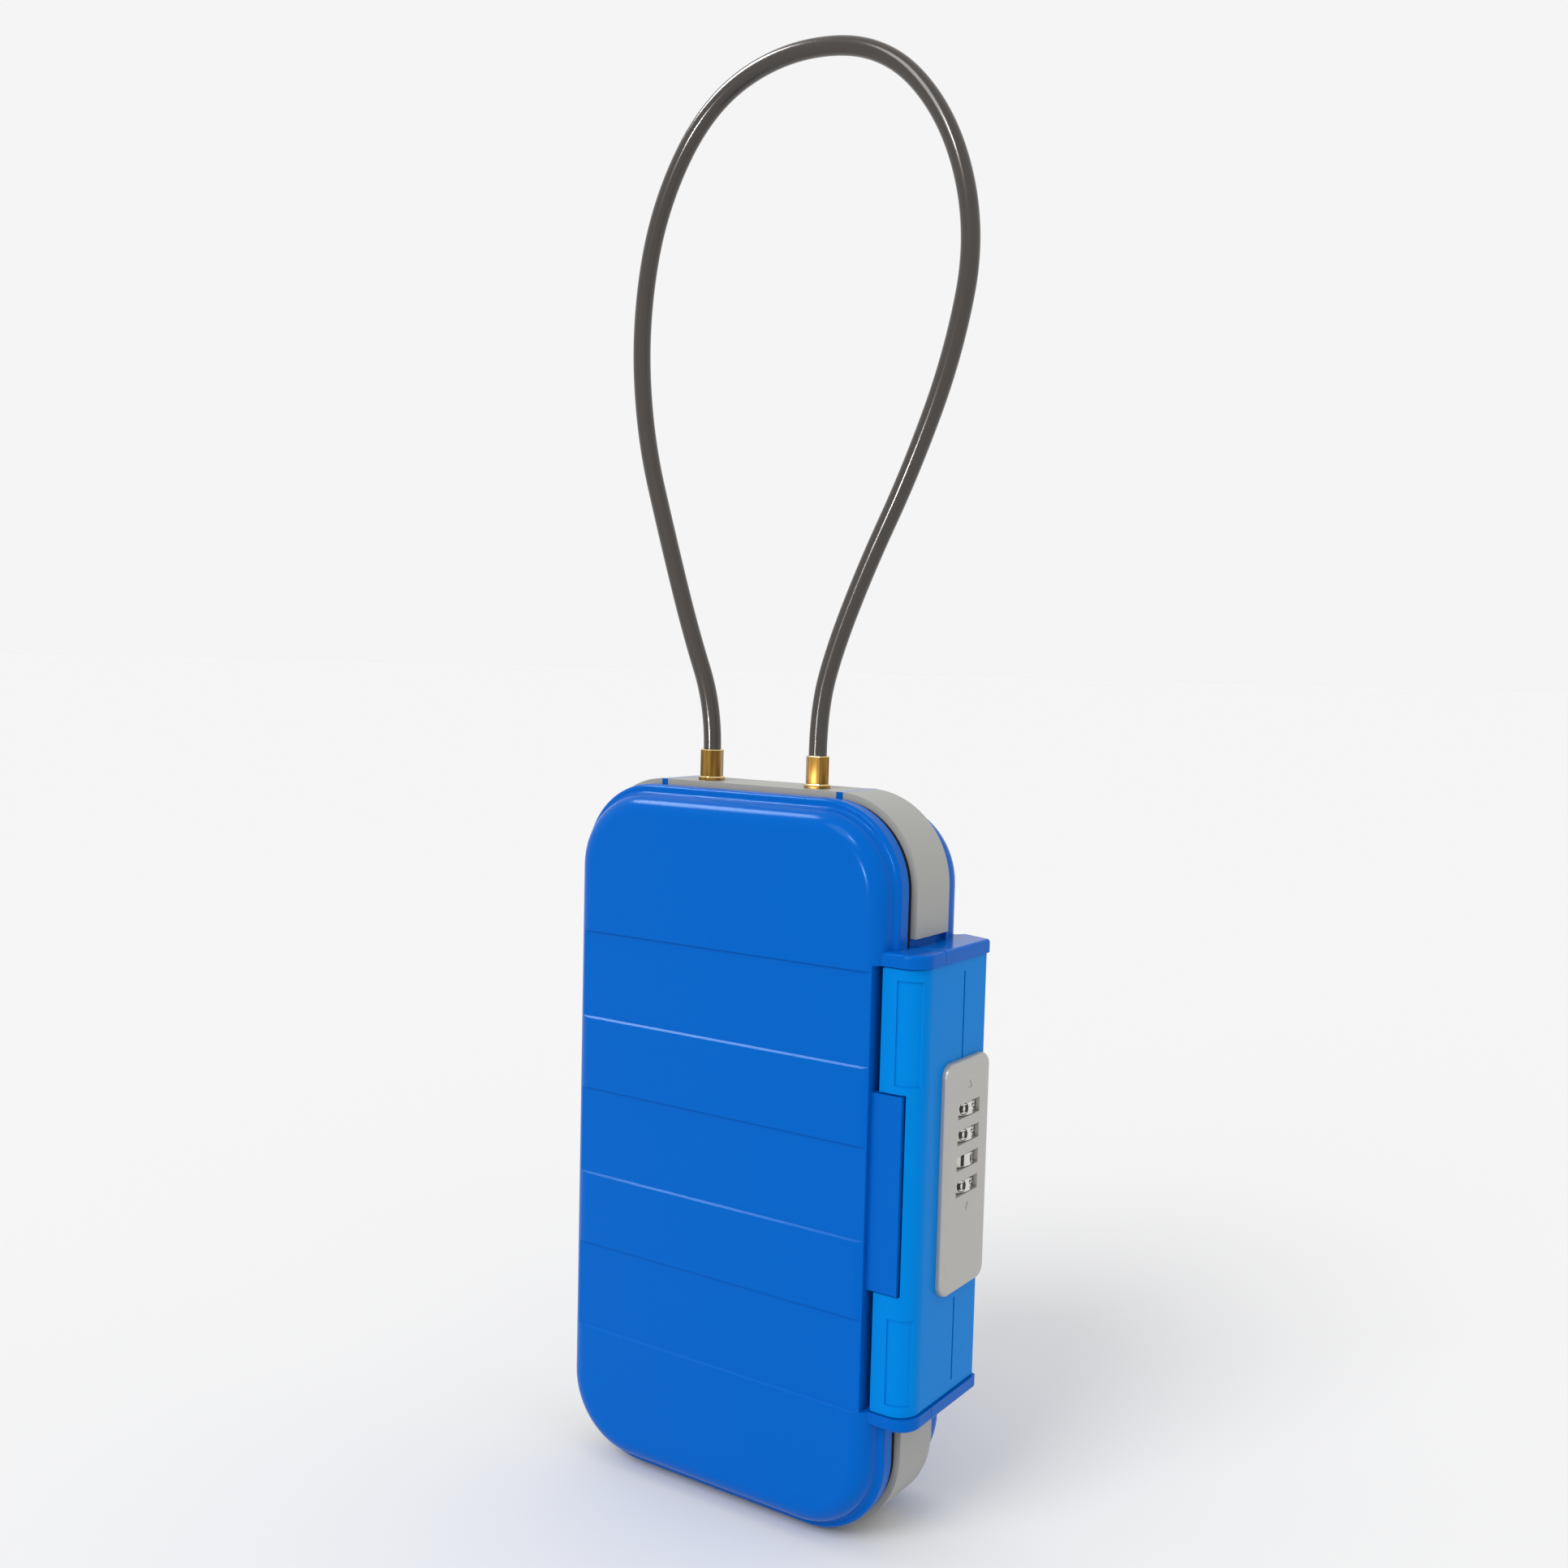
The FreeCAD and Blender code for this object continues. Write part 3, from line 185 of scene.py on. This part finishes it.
def finish_of(name, base, roughness, metallic=0.0, ior=1.5, specular=0.5, tint=(1, 1, 1, 1)):
    """A new material with its principled shader; every constant is set on the shader's own sockets."""
    made = bpy.data.materials.new(name)
    made.use_nodes = True
    made.diffuse_color = base
    made.metallic = metallic
    made.roughness = roughness
    shader = made.node_tree.nodes["Principled BSDF"]
    shader.inputs["Base Color"].default_value = base
    shader.inputs["Roughness"].default_value = roughness
    shader.inputs["Metallic"].default_value = metallic
    shader.inputs["IOR"].default_value = ior
    shader.inputs["Specular IOR Level"].default_value = specular
    shader.inputs["Specular Tint"].default_value = tint
    return made, made.node_tree, shader


def grain(tree, shader, size, height, stretch=(1, 1, 1), detail=2.0):
    """Fine relief of one grain size, in metres, from noise on the piece's own coordinates."""
    place = add_node(tree, "ShaderNodeTexCoord", {})
    turned = add_node(tree, "ShaderNodeMapping", {"Scale": stretch}, [("Vector", place.outputs["Object"])])
    noise = add_node(tree, "ShaderNodeTexNoise", {"Scale": 1 / size, "Detail": detail},
                     [("Vector", turned.outputs["Vector"])])
    bump = add_node(tree, "ShaderNodeBump", {"Strength": 1.0, "Distance": height},
                    [("Height", noise.outputs["Fac"])])
    tree.links.new(bump.outputs["Normal"], shader.inputs["Normal"])
    return noise


def moulded_abs(name, base, gloss=0.1):
    # ABS from a polished mould: a soft gloss that the pigment tints, with a faint waviness 6 mm across.
    blue_tint = (0.35, 0.7, 1.0, 1.0)
    made, tree, shader = finish_of(name, base, 0.17, ior=1.5, specular=gloss, tint=blue_tint)
    grain(tree, shader, 6 * MM, 0.004 * MM)
    return made


def moulded_tpe(base):
    # Thermoplastic elastomer from an eroded mould: satin, with a grain of about 0.4 mm.
    made, tree, shader = finish_of("moulded_tpe_satin", base, 0.42, ior=1.5)
    grain(tree, shader, 0.4 * MM, 0.004 * MM)
    return made


def extruded_epdm(base):
    # EPDM rubber: black and matte.
    made, tree, shader = finish_of("extruded_epdm_matte", base, 0.75, specular=0.3)
    grain(tree, shader, 0.5 * MM, 0.004 * MM)
    return made


def painted_zinc(base):
    # Die-cast zinc under satin silver paint: an even sheen with a fine metallic grit of 0.3 mm.
    made, tree, shader = finish_of("painted_zinc_satin", base, 0.34, metallic=0.35)
    noise = grain(tree, shader, 0.3 * MM, 0.002 * MM)
    ramp = add_node(tree, "ShaderNodeMapRange", {"To Min": 0.30, "To Max": 0.40},
                    [("Value", noise.outputs["Fac"])])
    tree.links.new(ramp.outputs["Result"], shader.inputs["Roughness"])
    return made


def plated_abs(base):
    # Satin chrome plating on ABS: bright, slightly soft reflections.
    made, tree, shader = finish_of("plated_abs_satin", base, 0.3, metallic=0.55)
    grain(tree, shader, 0.25 * MM, 0.001 * MM)
    return made


def enamel_paint(base):
    # Enamel wiped into the digits: nearly black, slightly glossy.
    return finish_of("enamel_paint", base, 0.45, ior=1.48)[0]


def drawn_brass(base, dark):
    # Drawn hexagonal brass bar, a little tarnished: soft bronze reflections in upright streaks 1.5 mm wide.
    made, tree, shader = finish_of("drawn_brass", base, 0.3, metallic=1.0)
    streaks = grain(tree, shader, 1.5 * MM, 0.01 * MM, stretch=(1, 1, 0.12), detail=1.0)
    ramp = add_node(tree, "ShaderNodeMapRange", {"From Min": 0.35, "From Max": 0.62},
                    [("Value", streaks.outputs["Fac"])])
    mixed = add_node(tree, "ShaderNodeMix", {"data_type": "RGBA", MIX_FIRST: dark, MIX_SECOND: base},
                     [("Factor", ramp.outputs["Result"])])
    tree.links.new(mixed.outputs[MIX_RESULT], shader.inputs["Base Color"])
    return made


def polished_brass(base):
    # Painted highlight: the chamfers get a pale, mirror-like brass beside the tarnished flats, standing in
    # for the glints on the ferrules' edges.
    return finish_of("polished_brass", base, 0.15, metallic=1.0)[0]


def extruded_pvc(base):
    # PVC sheath extruded over the steel rope: dark brown grey with a wet gloss and a faint long waviness.
    made, tree, shader = finish_of("extruded_pvc_gloss", base, 0.16, ior=1.53)
    grain(tree, shader, 5 * MM, 0.01 * MM)
    return made


def brushed_steel(base):
    # Stainless steel with a brushed grain, lines about 0.2 mm apart along Z.
    made, tree, shader = finish_of("brushed_steel", base, 0.34, metallic=1.0)
    grain(tree, shader, 0.2 * MM, 0.001 * MM, stretch=(1, 1, 0.05))
    return made


def moulded_nylon(base):
    # Glass-filled nylon: black, dull.
    made, tree, shader = finish_of("moulded_nylon", base, 0.55)
    grain(tree, shader, 0.4 * MM, 0.003 * MM)
    return made


def backdrop_paper(base):
    # Matte studio paper.
    return finish_of("backdrop_paper", base, 0.95, specular=0.1)[0]


def dress(piece, material):
    """Give a piece one material."""
    piece.data.materials.clear()
    piece.data.materials.append(material)


def dress_node(name, material):
    """Put a material in every slot of a frame node."""
    for slot in frame["nodes"][name].material_slots:
        slot.material = material


# ---------------------------------------------------------------------------
# Modelling.

def upright(edge):
    """Whether an edge's two corners lie at different heights."""
    return abs(edge.verts[0].co.z - edge.verts[1].co.z) > LEVEL


def chamfered(face):
    """Whether a face leans between upright and level."""
    return 0.2 < abs(face.normal.z) < 0.98


def start_piece(name, add, **settings):
    """Add a primitive with nothing else selected, name it and return it."""
    bpy.ops.object.select_all(action="DESELECT")
    add(**settings)
    piece = bpy.context.active_object
    piece.name = name
    piece.data.name = name
    return piece


def select(kind, test):
    """In edit mode, select only the faces or edges that pass a test."""
    mesh = bpy.context.edit_object.data
    bpy.ops.mesh.select_mode(type=kind)
    bpy.ops.mesh.select_all(action="DESELECT")
    shape = bmesh.from_edit_mesh(mesh)
    parts = shape.faces if kind == "FACE" else shape.edges
    for part in [part for part in parts if test(part)]:
        part.select_set(True)
    bmesh.update_edit_mesh(mesh)


def settle(piece, smooth_angle=35):
    """Put a finished piece's place in its mesh and shade it by angle."""
    bpy.ops.object.select_all(action="DESELECT")
    piece.select_set(True)
    bpy.context.view_layer.objects.active = piece
    bpy.ops.object.transform_apply(location=True, rotation=True, scale=True)
    bpy.ops.object.shade_smooth_by_angle(angle=math.radians(smooth_angle))


def apply_modifier(piece, name, kind, **settings):
    """Add a modifier with its settings and apply it."""
    made = piece.modifiers.new(name, kind)
    for key, value in settings.items():
        setattr(made, key, value)
    bpy.context.view_layer.objects.active = piece
    bpy.ops.object.modifier_apply(modifier=name)


def join(first, *others):
    """Join pieces into the first one."""
    bpy.ops.object.select_all(action="DESELECT")
    for piece in (first, *others):
        piece.select_set(True)
    bpy.context.view_layer.objects.active = first
    bpy.ops.object.join()
    return first


def copy_of(piece, name, shift=(0, 0, 0), turn=0.0):
    """A copy with its own mesh, turned about its own axis and moved."""
    made = piece.copy()
    made.data = piece.data.copy()
    made.name = name
    made.data.name = name
    bpy.context.collection.objects.link(made)
    made.location = Vector(piece.location) + Vector(shift)
    made.rotation_euler.z += turn
    return made


def middle_of(node):
    """The middle and the size of a frame node's box."""
    low, high = (Vector(corner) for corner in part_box(node))
    return (low + high) / 2, high - low


# ---------------------------------------------------------------------------
# Operators.

class CABLELOCK_OT_stage(bpy.types.Operator):
    """Set the camera, the paper floor and soft studio light"""
    bl_idname = "cablelock.stage"
    bl_label = "Stage"

    def execute(self, context):
        bpy.ops.object.select_all(action="DESELECT")
        turn = [math.radians(angle) for angle in CAMERA_TURNS]
        bpy.ops.object.camera_add(location=CAMERA_PLACE, rotation=turn)
        camera = context.active_object
        camera.data.sensor_width = CAMERA_SENSOR
        camera.data.lens = CAMERA_LENS
        camera.data.clip_start = NEAREST_SEEN
        context.scene.camera = camera

        floor = start_piece("floor", bpy.ops.mesh.primitive_circle_add, vertices=96, radius=FLOOR_RADIUS,
                            fill_type="NGON", location=(0, 0, -FLOOR_DROP))
        dress(floor, backdrop_paper(context.scene.cable_lock_colours.floor))
        settle(floor)

        world = bpy.data.worlds.new("studio")
        world.use_nodes = True
        sky = world.node_tree.nodes["Background"]
        sky.inputs["Color"].default_value = linear(SURROUND)
        sky.inputs["Strength"].default_value = 1.0
        context.scene.world = world

        sun = self.lamp("SUN", "high_front", SUN_PLACE, Vector(SUN_AIM))
        sun.data.angle = math.radians(SUN_SPREAD)
        sun.data.energy = SUN_STRENGTH
        for name, place, side, radiance in SOFTBOXES:
            box = self.lamp("AREA", name, place, Vector(SOFTBOX_TARGET) - Vector(place))
            box.visible_diffuse = False
            box.data.size = side
            box.data.energy = radiance * math.pi * side ** 2
        context.scene.view_settings.view_transform = "Standard"
        return {"FINISHED"}

    def lamp(self, kind, name, place, aim):
        """A light of one kind at a place, shining along a direction."""
        bpy.ops.object.light_add(type=kind, location=place,
                                 rotation=aim.to_track_quat("-Z", "Y").to_euler())
        made = bpy.context.active_object
        made.name = name
        return made


class CABLELOCK_OT_cable(bpy.types.Operator):
    """Lay the sheathed cable along its loop"""
    bl_idname = "cablelock.cable"
    bl_label = "Cable"

    def execute(self, context):
        sizes = context.scene.cable_lock_sizes
        line = bpy.data.curves.new("cable", "CURVE")
        line.dimensions = "3D"
        line.resolution_u = 24
        line.bevel_depth = sizes.cable_diameter / 2
        line.bevel_resolution = 10
        line.use_fill_caps = True
        spline = line.splines.new("NURBS")
        spline.points.add(len(CABLE_ROUTE) - 1)
        for point, (x, z) in zip(spline.points, CABLE_ROUTE):
            point.co = (x, CABLE_PLANE, z, 1.0)
        spline.order_u = 3
        spline.use_endpoint_u = True
        spline.use_smooth = True
        cable = bpy.data.objects.new("cable", line)
        context.collection.objects.link(cable)
        dress(cable, extruded_pvc(context.scene.cable_lock_colours.sheath))
        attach(cable, "case")
        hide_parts("cable_sheath")
        return {"FINISHED"}


class CABLELOCK_OT_ferrules(bpy.types.Operator):
    """Model the two brass ferrules that the cable enters"""
    bl_idname = "cablelock.ferrules"
    bl_label = "Ferrules"

    def execute(self, context):
        sizes = context.scene.cable_lock_sizes
        colours = context.scene.cable_lock_colours
        brass = drawn_brass(colours.brass, colours.brass_dark)
        # The pale chamfer brass is a painted highlight.
        glint_finish = polished_brass(colours.brass_edge)
        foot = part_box("bumper_top")[1][2] + FERRULE_SEAT
        for name, turn in FERRULE_TURNS:
            middle = middle_of("ferrule_" + name)[0]
            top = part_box("ferrule_" + name)[1][2]
            ferrule = self.hexagon("ferrule_%s_body" % name, middle, foot, top, sizes.ferrule_flats, turn,
                                   sizes.ferrule_edge)
            flange = self.hexagon("flange", middle, foot, foot + sizes.flange_height,
                                  sizes.flange_flats, turn, sizes.ferrule_edge * 1.5)
            bpy.ops.object.select_all(action="DESELECT")
            apply_modifier(ferrule, "flange", "BOOLEAN", object=flange, operation="UNION", solver="EXACT")
            bore = start_piece("bore", bpy.ops.mesh.primitive_cylinder_add, vertices=64,
                               radius=sizes.cable_diameter / 2 + BORE_CLEARANCE, depth=BORE_DEPTH,
                               location=(middle.x, middle.y, foot))
            apply_modifier(ferrule, "bore", "BOOLEAN", object=bore, operation="DIFFERENCE", solver="EXACT")
            for helper in (flange, bore):
                bpy.data.objects.remove(helper)
            settle(ferrule, 25)
            dress(ferrule, brass)
            ferrule.data.materials.append(glint_finish)
            # The chamfered faces get the pale brass, a painted highlight on the ferrules' edges.
            for face in ferrule.data.polygons:
                face.material_index = int(chamfered(face))
            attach(ferrule, "case")
            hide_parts("ferrule_" + name)
        return {"FINISHED"}

    def hexagon(self, name, middle, low, high, flats, turn, edge):
        """An upright hexagonal bar with softened corners and a chamfered top."""
        piece = start_piece(name, bpy.ops.mesh.primitive_cylinder_add, vertices=6,
                            radius=flats / 2 / math.cos(math.radians(30)), depth=high - low,
                            location=(middle.x, middle.y, (low + high) / 2),
                            rotation=(0, 0, math.radians(turn + 30)))
        bpy.ops.object.mode_set(mode="EDIT")
        select("EDGE", upright)
        bpy.ops.mesh.bevel(offset=edge / 2, segments=2)
        select("EDGE", lambda edge: edge.verts[0].co.z > 0 and not upright(edge))
        bpy.ops.mesh.bevel(offset=edge, segments=2)
        bpy.ops.object.mode_set(mode="OBJECT")
        return piece


class CABLELOCK_OT_dials(bpy.types.Operator):
    """Model the four plated dials and the painted digits round them"""
    bl_idname = "cablelock.dials"
    bl_label = "Dials"

    def execute(self, context):
        sizes = context.scene.cable_lock_sizes
        colours = context.scene.cable_lock_colours
        plating = plated_abs(colours.dial)
        paint = enamel_paint(colours.ink)
        first = self.ring(sizes)
        numbers = self.digits(sizes)
        step = math.tau / sizes.digits
        start = middle_of("dial_1")[0]
        for number, shown in enumerate(DIGITS_SHOWN, 1):
            shift = middle_of("dial_%d" % number)[0] - start
            body = "dial_body_%d" % number
            dial = copy_of(first, "dial_%d_ring" % number, shift)
            settle(dial)
            dress(dial, plating)
            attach(dial, body)
            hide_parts("dial_%d" % number)
            marks = copy_of(numbers, "dial_%d_digits" % number, shift, shown * step + sizes.digit_line)
            settle(marks)
            dress(marks, paint)
            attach(marks, body)
        for model in (first, numbers):
            bpy.data.objects.remove(model)
        return {"FINISHED"}

    def ring(self, sizes):
        """One dial: a numbered ring with rounded edges on a hub with a bore."""
        middle, size = middle_of("dial_1")
        ring = start_piece("dial_model", bpy.ops.mesh.primitive_cylinder_add, vertices=80,
                           radius=sizes.dial_radius, depth=sizes.ring_height, location=middle)
        bpy.ops.object.mode_set(mode="EDIT")
        select("EDGE", lambda edge: not upright(edge))
        bpy.ops.mesh.bevel(offset=sizes.dial_edge, segments=3)
        for side in (-1, 1):
            select("FACE", lambda face: face.normal.z * side > 0.99)
            bpy.ops.mesh.inset(thickness=sizes.dial_radius - sizes.dial_edge - sizes.hub_radius)
            bpy.ops.mesh.extrude_region_move(
                TRANSFORM_OT_translate={"value": (0, 0, side * (size.z - sizes.ring_height) / 2)})
            bpy.ops.mesh.inset(thickness=sizes.hub_radius - sizes.bore_radius)
        top = size.z / 2 - 0.01 * MM
        select("FACE", lambda face: len(face.verts) > 4 and abs(face.calc_center_median().z) > top)
        bpy.ops.mesh.bridge_edge_loops()
        bpy.ops.object.mode_set(mode="OBJECT")
        return ring

    def digits(self, sizes):
        """All the digits of a dial as one strip, bent round the ring; digit 0 faces the latch's side."""
        pitch = math.tau * sizes.dial_radius / sizes.digits
        strip = []
        for digit in range(sizes.digits):
            place = ((digit + sizes.digits // 2) % sizes.digits - sizes.digits // 2) * -pitch
            mark = start_piece("digit", bpy.ops.object.text_add, rotation=(math.pi / 2, 0, 0),
                               location=(place, DIGIT_THICK - sizes.digit_stand, 0))
            mark.data.body = str(digit)
            mark.data.align_x = "CENTER"
            mark.data.align_y = "CENTER"
            mark.data.size = sizes.digit_height / CAPITAL_HEIGHT
            mark.data.offset = DIGIT_BOLD * sizes.digit_height
            mark.data.extrude = DIGIT_THICK
            mark.scale.x = DIGIT_WIDTH
            bpy.ops.object.convert(target="MESH")
            strip.append(bpy.context.active_object)
        marks = join(*strip)
        bpy.ops.object.transform_apply(location=True, rotation=True, scale=True)
        reach = [vertex.co.x for vertex in marks.data.vertices]
        apply_modifier(marks, "wrap", "SIMPLE_DEFORM", deform_method="BEND", deform_axis="Z",
                       angle=(max(reach) - min(reach)) / sizes.dial_radius)
        marks.location = (0, -sizes.dial_radius, 0)
        bpy.ops.object.transform_apply(location=True)
        marks.rotation_euler.z = math.pi / 2
        bpy.ops.object.transform_apply(rotation=True)
        marks.location = middle_of("dial_1")[0]
        return marks


class CABLELOCK_OT_finishes(bpy.types.Operator):
    """Give every part of the frame its finish"""
    bl_idname = "cablelock.finishes"
    bl_label = "Finishes"

    def execute(self, context):
        colours = context.scene.cable_lock_colours
        finishes = {
            "shell_plastic": moulded_abs("moulded_abs_blue", colours.shell),
            "latch_plastic": moulded_abs("moulded_abs_light_blue", colours.latch, gloss=0.05),
            "bumper_plastic": moulded_tpe(colours.strip),
            "seal_rubber": extruded_epdm(colours.seal),
            "plate_metal": painted_zinc(colours.plate),
            "dial_plastic": plated_abs(colours.dial),
            "brass": drawn_brass(colours.brass, colours.brass_dark),
            "steel": brushed_steel(colours.steel),
            "inner_plastic": moulded_nylon(colours.inner),
            "cable_sheath": extruded_pvc(colours.sheath),
        }
        for subpart in frame["record"]["subparts"]:
            dress_node(subpart["node"], finishes[subpart["material_slot"]])
        return {"FINISHED"}


OPERATORS = (CABLELOCK_OT_stage, CABLELOCK_OT_cable, CABLELOCK_OT_ferrules, CABLELOCK_OT_dials,
             CABLELOCK_OT_finishes)


class CABLELOCK_PT_panel(bpy.types.Panel):
    """Sizes, colours and the steps that build the looks"""
    bl_idname = "CABLELOCK_PT_panel"
    bl_label = "Cable Lock"
    bl_space_type = "VIEW_3D"
    bl_region_type = "UI"
    bl_category = "Cable Lock"

    def draw(self, context):
        for title, group in (("Sizes", context.scene.cable_lock_sizes),
                             ("Colours", context.scene.cable_lock_colours)):
            column = self.layout.column(align=True)
            column.label(text=title)
            for name in group.bl_rna.properties.keys():
                if name not in ("rna_type", "name"):
                    column.prop(group, name)
        for operator in OPERATORS:
            self.layout.operator(operator.bl_idname)


CLASSES = (CableLockSizes, CableLockColours, *OPERATORS, CABLELOCK_PT_panel)


def register():
    for item in CLASSES:
        bpy.utils.register_class(item)
    bpy.types.Scene.cable_lock_sizes = PointerProperty(type=CableLockSizes)
    bpy.types.Scene.cable_lock_colours = PointerProperty(type=CableLockColours)


def unregister():
    del bpy.types.Scene.cable_lock_colours
    del bpy.types.Scene.cable_lock_sizes
    for item in reversed(CLASSES):
        bpy.utils.unregister_class(item)


def main():
    register()
    bpy.ops.cablelock.stage()
    bpy.ops.cablelock.cable()
    bpy.ops.cablelock.ferrules()
    bpy.ops.cablelock.dials()
    bpy.ops.cablelock.finishes()


if __name__ == "__main__":
    main()
